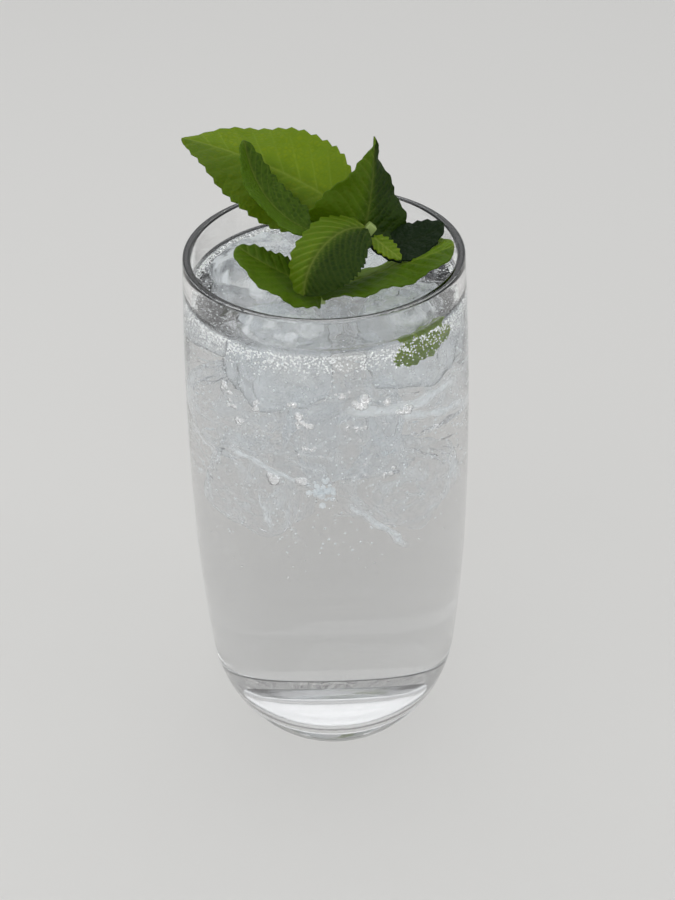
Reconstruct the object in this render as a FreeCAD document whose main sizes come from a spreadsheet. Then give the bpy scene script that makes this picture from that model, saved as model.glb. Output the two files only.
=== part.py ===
import FreeCAD, Part
import Sketcher
import math
import os
from FreeCAD import Placement, Rotation, Vector

# A tall barrel-shaped tumbler of sparkling water with ice and a sprig of mint.
# Millimetres. +Z is up and the origin is the centre of the foot, on the table.

doc = FreeCAD.newDocument("sparkling_water")
sheet = doc.addObject("Spreadsheet::Sheet", "Sizes")

GLASS = {
    "glass_height": 143.0,
    "rim_radius": 32.5,
    "belly_radius": 35.6,
    "belly_height": 66.0,
    "heel_radius": 33.85,
    "heel_height": 24.0,
    "foot_radius": 22.4,
    "foot_round": 1.6,
    "wall": 1.9,
    "rim_round": 0.85,
    "floor_height": 9.0,
    "floor_corner": 16.0,
    "headspace": 9.0,
}

# Floating ice: its sides and rounding, the gap it leaves to the wall, where it lies
# round the glass, how it is turned and how far it stands above the drink.
ICE = {
    "ice_left": {
        "long": 22.0, "wide": 19.0, "tall": 20.0, "round": 3.6,
        "wall_gap": 4.1, "bearing": 150.0, "turn": 58.0, "tilt": 6.0, "emerge": 3.6,
    },
    "ice_back": {
        "long": 19.0, "wide": 18.0, "tall": 18.0, "round": 3.4,
        "wall_gap": 2.9, "bearing": 56.0, "turn": -34.0, "tilt": 8.0, "emerge": 1.8,
    },
    "ice_right": {
        "long": 19.0, "wide": 17.0, "tall": 19.0, "round": 3.2,
        "wall_gap": 2.9, "bearing": -24.0, "turn": 72.0, "tilt": -5.0, "emerge": 0.7,
    },
    "ice_front": {
        "long": 18.0, "wide": 17.0, "tall": 18.0, "round": 3.0,
        "wall_gap": 0.8, "bearing": -119.0, "turn": 24.0, "tilt": 5.0, "emerge": 0.6,
    },
}

# The square mint stem dips into the drink, stands up to the lower pair of leaves
# and leans back to the crown.
STEM = {
    "stem_side": 2.2,
    "stem_foot": 4.5,
    "node_across": -1.0,
    "node_forward": 5.8,
    "node_lift": 2.2,
    "lean_bearing": 14.5,
    "lean_run": 11.1,
    "lean_rise": 12.1,
    "stem_bend": 6.0,
    "crown_over": 2.4,
    "leaf_seat": 0.12,
    "leaf_thick": 0.5,
    "stalk_wide": 1.1,
}

# Each leaf: the node it grows from (0 lower, 1 crown) and how far above it, its
# length and the widest reach of its left and right halves, how full its base and
# its tip are, the direction it leaves in, how that direction changes along it, and
# how the blade rolls about its midrib and folds up on each side of it.
LEAVES = {
    "back_leaf": {
        "node": 1, "lift": 1.8, "stalk": 6.4, "long": 45.0, "left": 13.0, "right": 10.8,
        "base": 0.5, "tip": 0.62, "teeth": 12,
        "heading": 137.0, "rise": 15.0, "curl": -4.0, "sweep": 32.5,
        "roll": 56.0, "twist": -56.0, "fold_left": -2.0, "fold_right": -2.0,
    },
    "curled_leaf": {
        "node": 1, "lift": -1.2, "stalk": 1.0, "long": 36.5, "left": 7.6, "right": 5.4,
        "base": 0.5, "tip": 0.6, "teeth": 10,
        "heading": 180.0, "rise": -3.0, "curl": 66.0, "sweep": -72.0,
        "roll": 24.0, "twist": -38.0, "fold_left": 32.0, "fold_right": 16.0,
    },
    "crown_leaf": {
        "node": 1, "lift": -3.0, "stalk": 0.5, "long": 21.4, "left": 13.4, "right": 10.8,
        "base": 0.3, "tip": 1.1, "teeth": 9,
        "heading": 53.0, "rise": 65.0, "curl": 3.0, "sweep": 34.0,
        "roll": -30.0, "twist": -15.0, "fold_left": 13.0, "fold_right": -28.0,
    },
    "front_leaf": {
        "node": 1, "lift": 1.8, "stalk": 0.7, "long": 25.0, "left": 10.4, "right": 5.0,
        "base": 0.45, "tip": 0.45, "teeth": 9,
        "heading": 221.0, "rise": 30.0, "curl": -120.0, "sweep": -3.0,
        "roll": 12.0, "twist": 0.0, "fold_left": 3.0, "fold_right": 12.0,
    },
    "left_leaf": {
        "node": 0, "lift": 0.5, "stalk": 0.5, "long": 20.0, "left": 11.8, "right": 3.4,
        "base": 0.5, "tip": 0.5, "teeth": 8,
        "heading": 200.0, "rise": 32.0, "curl": -2.0, "sweep": -42.0,
        "roll": 28.0, "twist": -26.0, "fold_left": 16.0, "fold_right": 14.0,
    },
    "right_leaf": {
        "node": 0, "lift": -0.4, "stalk": 1.0, "long": 29.9, "left": 12.0, "right": 11.2,
        "base": 0.5, "tip": 0.36, "teeth": 10,
        "heading": -8.0, "rise": 19.5, "curl": 6.0, "sweep": 5.0,
        "roll": 9.0, "twist": -11.0, "fold_left": -12.0, "fold_right": 2.0,
    },
    "rear_leaf": {
        "node": 1, "lift": -2.8, "stalk": 0.8, "long": 17.6, "left": 4.6, "right": 5.2,
        "base": 0.5, "tip": 0.6, "teeth": 7,
        "heading": 12.0, "rise": -22.0, "curl": 64.0, "sweep": -10.0,
        "roll": -15.0, "twist": 1.0, "fold_left": 2.0, "fold_right": 2.0,
    },
    "young_leaf": {
        "node": 1, "lift": -0.3, "stalk": 0.8, "long": 8.0, "left": 2.4, "right": 2.8,
        "base": 0.5, "tip": 0.7, "teeth": 5,
        "heading": -40.0, "rise": -24.0, "curl": 0.0, "sweep": 8.0,
        "roll": -7.0, "twist": -1.0, "fold_left": 13.0, "fold_right": 10.0,
    },
}

# The heel arc starts out bulging this share of its chord, before tangency sets it.
HEEL_BULGE = 0.13
# The stem's bend uses up at most this share of the straight below it.
BEND_SHARE = 0.9
# The hollowed tumbler holds less glass than this share of the solid barrel.
HOLLOW_SHARE = 0.5
# The rim is rounded by at most this share of the wall on each side.
RIM_SHARE = 0.45
# How far from a height an edge may lie and still count as being at it.
SAME_HEIGHT = 1e-4

# The saw teeth of the margin, as shares of the half width and of one tooth.
TOOTH_DEPTH = 0.055
TOOTH_PEAK = 0.62
FIRST_VALLEY = 0.25
TIP_BLUNT = 0.02
ACROSS = (-1.0, -0.5, 0.0, 0.5, 1.0)


def fill_sheet():
    """Write every driving size into the sheet, one aliased cell each."""
    sizes = dict(GLASS)
    sizes.update(STEM)
    for name, values in list(ICE.items()) + list(LEAVES.items()):
        for key, value in values.items():
            sizes[name + "_" + key] = value
    for row, (alias, value) in enumerate(sizes.items(), start=1):
        sheet.set("A%d" % row, alias)
        sheet.set("B%d" % row, str(value))
        sheet.setAlias("B%d" % row, alias)
    doc.recompute()


def size(alias):
    """Read one driving size back from the sheet."""
    return float(sheet.get(alias))


def plane(body, role):
    """Find one of a body's own origin planes."""
    return [part for part in body.Origin.OriginFeatures if part.Role == role][0]


# --- the tumbler and its drink -------------------------------------------------

UPPER_SWEEP = (
    "((Sizes.glass_height - Sizes.belly_height)^2 + (Sizes.belly_radius - Sizes.rim_radius)^2)"
    " / (2 * (Sizes.belly_radius - Sizes.rim_radius))"
)
LOWER_SWEEP = (
    "((Sizes.belly_height - Sizes.heel_height)^2 + (Sizes.belly_radius - Sizes.heel_radius)^2)"
    " / (2 * (Sizes.belly_radius - Sizes.heel_radius))"
)


def bind(sketch, constraint, expression):
    """Add a constraint and drive it from the sheet."""
    number = sketch.addConstraint(constraint)
    sketch.setExpression("Constraints[%d]" % number, expression)
    return number


def sweep_radius(height_span, radius_span):
    """Radius of an arc that leaves the belly upright and drifts in by radius_span."""
    return (height_span ** 2 + radius_span ** 2) / (2 * radius_span)


def wall_curve(sketch, inset, inset_rule, top, top_rule):
    """Draw the two long arcs of the barrel wall, which meet upright at the belly.

    Returns the number of the upper arc and of the lower arc. The upper arc runs
    from the belly to the height top, and the lower arc from the heel to the belly.
    """
    belly = size("belly_height")
    upper = sweep_radius(size("glass_height") - belly, size("belly_radius") - size("rim_radius"))
    lower = sweep_radius(belly - size("heel_height"), size("belly_radius") - size("heel_radius"))
    centres = {"upper": size("belly_radius") - upper, "lower": size("belly_radius") - lower}
    top_angle = math.asin((top - belly) / (upper - inset))
    heel_angle = math.asin((size("heel_height") - belly) / (lower - inset))
    upper_circle = Part.Circle(Vector(centres["upper"], belly, 0), Vector(0, 0, 1), upper - inset)
    lower_circle = Part.Circle(Vector(centres["lower"], belly, 0), Vector(0, 0, 1), lower - inset)
    above = sketch.addGeometry(Part.ArcOfCircle(upper_circle, 0.0, top_angle), False)
    below = sketch.addGeometry(Part.ArcOfCircle(lower_circle, heel_angle, 0.0), False)
    sketch.addConstraint(Sketcher.Constraint("Coincident", above, 1, below, 2))
    bind(sketch, Sketcher.Constraint("DistanceX", -1, 1, above, 1, size("belly_radius") - inset),
         "Sizes.belly_radius - " + inset_rule)
    for point in ((above, 1), (above, 3), (below, 3)):
        bind(sketch, Sketcher.Constraint("DistanceY", -1, 1, point[0], point[1], belly),
             "Sizes.belly_height")
    bind(sketch, Sketcher.Constraint("Radius", above, upper - inset),
         UPPER_SWEEP + " - " + inset_rule)
    bind(sketch, Sketcher.Constraint("Radius", below, lower - inset),
         LOWER_SWEEP + " - " + inset_rule)
    bind(sketch, Sketcher.Constraint("DistanceY", -1, 1, above, 2, top), top_rule)
    return above, below


def close_to_axis(sketch, above, last_line, floor_height, top):
    """Close a half section with a level top line and a line down the axis."""
    rim = sketch.getPoint(above, 2)
    level = sketch.addGeometry(Part.LineSegment(rim, Vector(0, top, 0)), False)
    axis = sketch.addGeometry(Part.LineSegment(Vector(0, top, 0), Vector(0, floor_height, 0)), False)
    sketch.addConstraint(Sketcher.Constraint("Coincident", above, 2, level, 1))
    sketch.addConstraint(Sketcher.Constraint("Horizontal", level))
    sketch.addConstraint(Sketcher.Constraint("Coincident", level, 2, axis, 1))
    sketch.addConstraint(Sketcher.Constraint("PointOnObject", axis, 1, -2))
    sketch.addConstraint(Sketcher.Constraint("PointOnObject", axis, 2, -2))
    sketch.addConstraint(Sketcher.Constraint("Coincident", axis, 2, last_line, 2))


def new_sketch(body, name):
    """Start a sketch on the body's own upright plane."""
    sketch = body.newObject("Sketcher::SketchObject", name)
    sketch.AttachmentSupport = (plane(body, "XZ_Plane"), [""])
    sketch.MapMode = "FlatFace"
    return sketch


def outside_section(body):
    """Half section of the tumbler as a solid block: barrel, and a heel arc to the foot."""
    sketch = new_sketch(body, "outside_section")
    height = size("glass_height")
    above, below = wall_curve(sketch, 0.0, "0", height, "Sizes.glass_height")
    heel_top = Vector(size("heel_radius"), size("heel_height"), 0)
    foot_edge = Vector(size("foot_radius"), 0, 0)
    middle = (heel_top + foot_edge) * 0.5
    outward = Vector(heel_top.y - foot_edge.y, foot_edge.x - heel_top.x, 0).normalize()
    bulge = middle + outward * ((heel_top - foot_edge).Length * HEEL_BULGE)
    heel = sketch.addGeometry(Part.Arc(foot_edge, bulge, heel_top), False)
    base = sketch.addGeometry(Part.LineSegment(foot_edge, Vector(0, 0, 0)), False)
    bind(sketch, Sketcher.Constraint("DistanceY", -1, 1, below, 1, size("heel_height")),
         "Sizes.heel_height")
    sketch.addConstraint(Sketcher.Constraint("Tangent", below, 1, heel, 2))
    sketch.addConstraint(Sketcher.Constraint("Coincident", heel, 1, base, 1))
    bind(sketch, Sketcher.Constraint("DistanceX", -1, 1, base, 1, size("foot_radius")),
         "Sizes.foot_radius")
    sketch.addConstraint(Sketcher.Constraint("Horizontal", base))
    sketch.addConstraint(Sketcher.Constraint("PointOnObject", base, 1, -1))
    close_to_axis(sketch, above, base, 0.0, height)
    return sketch


def inside_section(body, name, top, top_rule):
    """Half section of the tumbler's inside up to a height: wall, round corner, floor."""
    sketch = new_sketch(body, name)
    wall = size("wall")
    corner = size("floor_corner")
    floor = size("floor_height")
    above, below = wall_curve(sketch, wall, "Sizes.wall", top, top_rule)
    lower = sweep_radius(size("belly_height") - size("heel_height"),
                         size("belly_radius") - size("heel_radius"))
    reach = lower - wall - corner
    drop = size("belly_height") - floor - corner
    centre = Vector(size("belly_radius") - lower + math.sqrt(reach ** 2 - drop ** 2),
                    floor + corner, 0)
    tangent_angle = -math.asin(drop / reach)
    circle = Part.Circle(centre, Vector(0, 0, 1), corner)
    bend = sketch.addGeometry(Part.ArcOfCircle(circle, -math.pi / 2, tangent_angle), False)
    flat = sketch.addGeometry(Part.LineSegment(Vector(centre.x, floor, 0),
                                               Vector(0, floor, 0)), False)
    sketch.addConstraint(Sketcher.Constraint("Tangent", below, 1, bend, 2))
    bind(sketch, Sketcher.Constraint("Radius", bend, corner), "Sizes.floor_corner")
    sketch.addConstraint(Sketcher.Constraint("Tangent", bend, 1, flat, 1))
    sketch.addConstraint(Sketcher.Constraint("Horizontal", flat))
    bind(sketch, Sketcher.Constraint("DistanceY", -1, 1, flat, 1, floor), "Sizes.floor_height")
    close_to_axis(sketch, above, flat, floor, top)
    return sketch


def revolve(body, kind, sketch, name):
    """Turn a half section once round the upright axis."""
    feature = body.newObject(kind, name)
    feature.Profile = sketch
    feature.ReferenceAxis = (sketch, ["V_Axis"])
    feature.Angle = 360.0
    doc.recompute()
    return feature


def edges_at_height(shape, height):
    """Names of the level circular edges at a height."""
    names = []
    for number, edge in enumerate(shape.Edges, start=1):
        box = edge.BoundBox
        if abs(box.ZMin - height) < SAME_HEIGHT and abs(box.ZMax - height) < SAME_HEIGHT:
            names.append("Edge%d" % number)
    return names


def round_edges(body, base, height, rule, name):
    """Round the level edges at a height."""
    feature = body.newObject("PartDesign::Fillet", name)
    feature.Base = (base, edges_at_height(base.Shape, height))
    feature.setExpression("Radius", rule)
    doc.recompute()
    return feature


def make_tumbler():
    """Pressed glass: solid barrel, hollowed from above, rim and foot edge rounded."""
    body = doc.addObject("PartDesign::Body", "tumbler")
    block = revolve(body, "PartDesign::Revolution", outside_section(body), "barrel")
    top = size("glass_height")
    hollow = inside_section(body, "inside_section", top, "Sizes.glass_height")
    opened = revolve(body, "PartDesign::Groove", hollow, "hollow")
    if opened.Shape.Volume > block.Shape.Volume * HOLLOW_SHARE:
        raise RuntimeError("the tumbler was not hollowed")
    rim_rule = "min(Sizes.rim_round; Sizes.wall * %s)" % RIM_SHARE
    rim = round_edges(body, opened, top, rim_rule, "rim_edge")
    round_edges(body, rim, 0.0, "Sizes.foot_round", "foot_edge")
    return body


def make_drink(pieces):
    """Sparkling water up to its level, cut round all that stands in it."""
    fill = doc.addObject("PartDesign::Body", "fill")
    level = size("glass_height") - size("headspace")
    section = inside_section(fill, "fill_section", level, "Sizes.glass_height - Sizes.headspace")
    revolve(fill, "PartDesign::Revolution", section, "water")
    sunk = doc.addObject("Part::MultiFuse", "sunk_pieces")
    sunk.Shapes = pieces
    drink = doc.addObject("Part::Cut", "drink")
    drink.Base = fill
    drink.Tool = sunk
    doc.recompute()
    return drink


# --- the floating ice ------------------------------------------------------------

def inside_radius(height):
    """Radius of the upper wall's inner face at a height."""
    span = size("glass_height") - size("belly_height")
    sweep = sweep_radius(span, size("belly_radius") - size("rim_radius"))
    above = height - size("belly_height")
    return size("belly_radius") - sweep + math.sqrt((sweep - size("wall")) ** 2 - above ** 2)


def plan_reach(name):
    """How far a turned, rounded block reaches from its middle towards the wall."""
    across = math.radians(size(name + "_turn") - size(name + "_bearing"))
    rounding = size(name + "_round")
    by_length = (size(name + "_long") / 2 - rounding) * abs(math.cos(across))
    by_width = (size(name + "_wide") / 2 - rounding) * abs(math.sin(across))
    return by_length + by_width + rounding


def make_ice(name):
    """A melting ice cube, round at every edge, that floats partly out of the drink."""
    block = doc.addObject("Part::Box", name + "_block")
    for side, key in (("Length", "long"), ("Width", "wide"), ("Height", "tall")):
        block.setExpression(side, "Sizes." + name + "_" + key)
    doc.recompute()
    piece = doc.addObject("Part::Fillet", name)
    piece.Base = block
    radius = size(name + "_round")
    piece.Edges = [(number, radius, radius) for number in range(1, 13)]
    doc.recompute()
    half = Vector(size(name + "_long"), size(name + "_wide"), size(name + "_tall")) * 0.5
    bearing = math.radians(size(name + "_bearing"))
    level = size("glass_height") - size("headspace")
    away = inside_radius(level) - plan_reach(name) - size(name + "_wall_gap")
    turned = Rotation(Vector(0, 0, 1), size(name + "_turn"))
    tilted = Rotation(Vector(1, 0, 0), size(name + "_tilt"))
    rotation = turned.multiply(tilted)
    middle = Vector(away * math.cos(bearing), away * math.sin(bearing),
                    level + size(name + "_emerge") - half.z)
    piece.Placement = Placement(middle - rotation.multVec(half), rotation)
    return piece


# --- the mint --------------------------------------------------------------------

def stem_points():
    """Foot, lower node, crown and tip of the stem."""
    level = size("glass_height") - size("headspace")
    node = Vector(size("node_across"), -size("node_forward"), level + size("node_lift"))
    foot = Vector(node.x, node.y, level - size("stem_foot"))
    bearing = math.radians(size("lean_bearing"))
    run = size("lean_run")
    lean = Vector(run * math.cos(bearing), run * math.sin(bearing), size("lean_rise"))
    crown = node + lean
    tip = crown + lean.normalize() * size("crown_over")
    return foot, node, crown, tip


def make_stem():
    """A square stem: upright out of the drink, bent at the lower node, then leaning."""
    foot, node, crown, tip = stem_points()
    lean = (tip - node).normalize()
    up = (node - foot).normalize()
    cut = size("stem_bend") * math.tan(up.getAngle(lean) / 2)
    cut = min(cut, (node - foot).Length * BEND_SHARE)
    start = node - up * cut
    end = node + lean * cut
    bisector = (lean - up).normalize()
    half_turn = up.getAngle(lean) / 2
    bend = (start - node).Length / math.tan(half_turn)
    mid_arc = node + bisector * (bend / math.cos(half_turn) - bend)
    path = Part.Wire([
        Part.LineSegment(foot, start).toShape(),
        Part.Arc(start, mid_arc, end).toShape(),
        Part.LineSegment(end, tip).toShape(),
    ])
    half = size("stem_side") / 2
    corners = [foot + Vector(x * half, y * half, 0) for x, y in ((-1, -1), (1, -1), (1, 1), (-1, 1))]
    section = Part.makePolygon(corners + corners[:1])
    stem = doc.addObject("Part::Feature", "mint_stem")
    stem.Shape = path.makePipeShell([section], True, False)
    return stem


def blade_width(values, along):
    """Share of the full half width at a share of the length, without teeth."""
    widest = values["base"] / (values["base"] + values["tip"])
    full = widest ** values["base"] * (1 - widest) ** values["tip"]
    return along ** values["base"] * (1 - along) ** values["tip"] / full


def blade_rows(values):
    """Shares of the length with a valley and a peak for each tooth, and the margin there."""
    teeth = int(values["teeth"])
    rows = []
    for tooth in range(teeth):
        valley = max(tooth, FIRST_VALLEY) / teeth
        rows.append((valley, blade_width(values, valley) - TOOTH_DEPTH / 2))
        peak = (tooth + TOOTH_PEAK) / teeth
        rows.append((peak, blade_width(values, peak) + TOOTH_DEPTH / 2))
    rows.append((1.0, TIP_BLUNT))
    return rows


def leaf_frame(values, along):
    """Direction, sideways and upward vectors of the midrib at a share of its length."""
    rise = math.radians(values["rise"] + values["curl"] * along)
    heading = math.radians(values["heading"] + values["sweep"] * along)
    roll = math.radians(values["roll"] + values["twist"] * along)
    forward = Vector(math.cos(rise) * math.cos(heading), math.cos(rise) * math.sin(heading),
                     math.sin(rise))
    level_side = Vector(math.sin(heading), -math.cos(heading), 0)
    level_up = level_side.cross(forward)
    side = level_side * math.cos(roll) + level_up * math.sin(roll)
    upward = level_up * math.cos(roll) - level_side * math.sin(roll)
    return forward, side, upward


def leaf_sections(values, base, thick, stalk_half):
    """Cross sections of a leaf from the foot of its stalk to its tip.

    Each section is two rows of points, above and below the blade.
    """
    forward, side, upward = leaf_frame(values, 0.0)
    stations = [(base, side, upward, stalk_half, stalk_half, 0.0)]
    centre = base + forward * values["stalk"]
    along = 0.0
    for share, margin in blade_rows(values):
        forward = leaf_frame(values, (along + share) / 2)[0]
        centre = centre + forward * (values["long"] * (share - along))
        along = share
        side, upward = leaf_frame(values, along)[1:]
        left = margin * values["left"]
        right = margin * values["right"]
        stations.append((centre, side, upward, left, right, 1.0))
    sections = []
    for centre, side, upward, left, right, folded in stations:
        above, below = [], []
        for across in ACROSS:
            fold = values["fold_right"] if across > 0 else values["fold_left"]
            fold = math.radians(fold) * folded
            half = right if across > 0 else left
            reach = side * (math.cos(fold) * across) + upward * (math.sin(fold) * abs(across))
            point = centre + reach * half
            normal = upward * math.cos(fold)
            if across:
                normal = normal - side * (math.sin(fold) * math.copysign(1, across))
            above.append(point + normal * (thick / 2))
            below.append(point - normal * (thick / 2))
        sections.append((above, below))
    return sections


def triangle(a, b, c):
    """One flat facet."""
    return Part.Face(Part.makePolygon([a, b, c, a]))


def solid_between(sections):
    """Closed faceted solid through the sections."""
    faces = []
    rings = [above + below[::-1] for above, below in sections]
    count = len(rings[0])
    for near, far in zip(rings[:-1], rings[1:]):
        for spot in range(count):
            after = (spot + 1) % count
            faces.append(triangle(near[spot], far[spot], far[after]))
            faces.append(triangle(near[spot], far[after], near[after]))
    for ring, order in ((rings[0], 1), (rings[-1], -1)):
        width = count // 2
        for spot in range(width - 1):
            quad = [ring[spot], ring[spot + 1], ring[count - 2 - spot], ring[count - 1 - spot]][::order]
            faces.append(triangle(quad[0], quad[1], quad[2]))
            faces.append(triangle(quad[0], quad[2], quad[3]))
    shell = Part.Shell(faces)
    solid = Part.Solid(shell)
    if solid.Volume < 0:
        solid.reverse()
    return solid


def make_leaf(name):
    """A serrate mint leaf that grows from its node on the stem."""
    values = {key: size(name + "_" + key) for key in LEAVES[name]}
    node, crown = stem_points()[1:3]
    axis = (crown - node).normalize()
    start = (crown if values["node"] else node) + axis * values["lift"]
    heading = math.radians(values["heading"])
    outward = Vector(math.cos(heading), math.sin(heading), 0)
    clear = size("stem_side") * math.sqrt(0.5) + size("leaf_seat")
    leaf = doc.addObject("Part::Feature", name)
    leaf.Shape = solid_between(leaf_sections(values, start + outward * clear,
                                             size("leaf_thick"), size("stalk_wide") / 2))
    return leaf


def check(parts):
    """Stop if anything in the document failed or any piece is not one sound solid."""
    for item in doc.Objects:
        if "Invalid" in item.State or "Error" in item.State:
            raise RuntimeError(item.Name + " failed")
    for part in parts:
        shape = part.Shape
        if shape.isNull() or not shape.isValid() or shape.Volume <= 0:
            raise RuntimeError(part.Label + " is not a sound solid")
        if len(shape.Solids) != 1:
            raise RuntimeError(part.Label + " is not one solid")


fill_sheet()
ice = [make_ice(name) for name in ICE]
stem = make_stem()
drink = make_drink(ice + [stem])
leaves = [make_leaf(name) for name in LEAVES]
parts = [make_tumbler(), drink] + ice + [stem] + leaves
doc.recompute()
check(parts)
os.makedirs("parts", exist_ok=True)
for part in parts:
    part.Shape.exportStep("parts/" + part.Label + ".step")
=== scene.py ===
import math
import random

import bpy
import numpy as np
from mathutils import Matrix, Vector, noise


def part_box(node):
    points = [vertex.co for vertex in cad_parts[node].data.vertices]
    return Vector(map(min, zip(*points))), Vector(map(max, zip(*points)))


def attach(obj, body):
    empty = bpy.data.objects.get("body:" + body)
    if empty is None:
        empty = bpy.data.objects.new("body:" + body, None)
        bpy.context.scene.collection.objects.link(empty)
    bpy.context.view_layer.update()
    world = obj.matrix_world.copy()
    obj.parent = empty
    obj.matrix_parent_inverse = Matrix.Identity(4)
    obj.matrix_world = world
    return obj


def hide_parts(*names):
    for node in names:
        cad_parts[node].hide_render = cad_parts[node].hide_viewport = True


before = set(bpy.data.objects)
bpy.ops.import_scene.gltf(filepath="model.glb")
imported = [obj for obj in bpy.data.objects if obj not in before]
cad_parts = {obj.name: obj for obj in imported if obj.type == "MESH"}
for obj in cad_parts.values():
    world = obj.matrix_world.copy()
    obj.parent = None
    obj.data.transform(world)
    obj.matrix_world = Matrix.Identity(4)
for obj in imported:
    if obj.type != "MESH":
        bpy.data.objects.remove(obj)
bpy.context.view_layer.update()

# A barrel-shaped tumbler of sparkling water with ice and a sprig of mint.
# Sizes below are in millimetres and are turned to metres where a mesh is made.
# +Z is up, the foot stands on z = 0 and the glass turns about the Z axis.

MM = 0.001
WELD = 1e-6
SPIN_WELD = 2e-6
ALL_ROUND = (-180, 180)

# The glass: an upper and a lower sweep meet at the belly, and below the heel the wall turns
# in to the foot. The middle of the foot is pushed up, so that the glass stands on a ring.
BELLY_RADIUS, _, GLASS_TOP = np.array(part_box("tumbler")[1]) / MM
RIM_RADIUS = 32.5
BELLY_HEIGHT = 66.0
HEEL_RADIUS = 33.85
HEEL_HEIGHT = 24.0
FOOT_RADIUS = 22.4
FOOT_ROUND = 1.6
WALL = 1.9
RIM_ROUND = 0.85
FLOOR_CORNER = 16.0
PUSH_UP = 0.7
PUSH_UP_SHARE = 0.8
STANDING_SHARE = 0.92

# The drink stands on the inner floor and reaches a little way into the glass, so that no
# film of air shows between them. Its surface climbs the wall at the edge.
FLOOR = (np.array(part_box("drink")[0]) / MM)[2]
HEADSPACE = 9.0
LEVEL = GLASS_TOP - HEADSPACE
DRINK_IN_WALL = 0.35
MENISCUS_RISE = 1.3
MENISCUS_REACH = 1.5
SURFACE_CROWDING = 1.35

# Ripples: the length and height of each kind, and the calm ring at the wall.
RIPPLES = [(9, 0.35), (3.2, 0.16)]
CALM_RING = 0.5
CALM_POWER = 8
SURFACE_DEEP = 0.05

# How many steps the outlines are cut into, and the glass round its axis.
TURNS = 180
PUSH_UP_RINGS = 8
FOOT_EDGE_STEPS = 5
HEEL_STEPS = 24
WALL_STEPS = 48
RIM_STEPS = 12
FLOOR_RINGS = 12
CORNER_STEPS = 22
INSIDE_STEPS = 56
DRINK_SIDE_STEPS = 64
SURFACE_RINGS = 46

# The sprig: a square stem that leans, with leaves at a lower node and at its crown.
STEM_SIDE = 2.2
STEM_BEVEL = 0.35
LOWER_NODE = Vector((-1.0, -5.8, LEVEL + 2.2))
LEAN_BEARING = 14.5
LEAN_RUN = 11.1
LEAN_RISE = 12.1
LEAF_SEAT = 0.12
LEAF_THICK = 0.34
STALK_WIDE = 1.3
LEAF_FINENESS = 3.4

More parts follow.
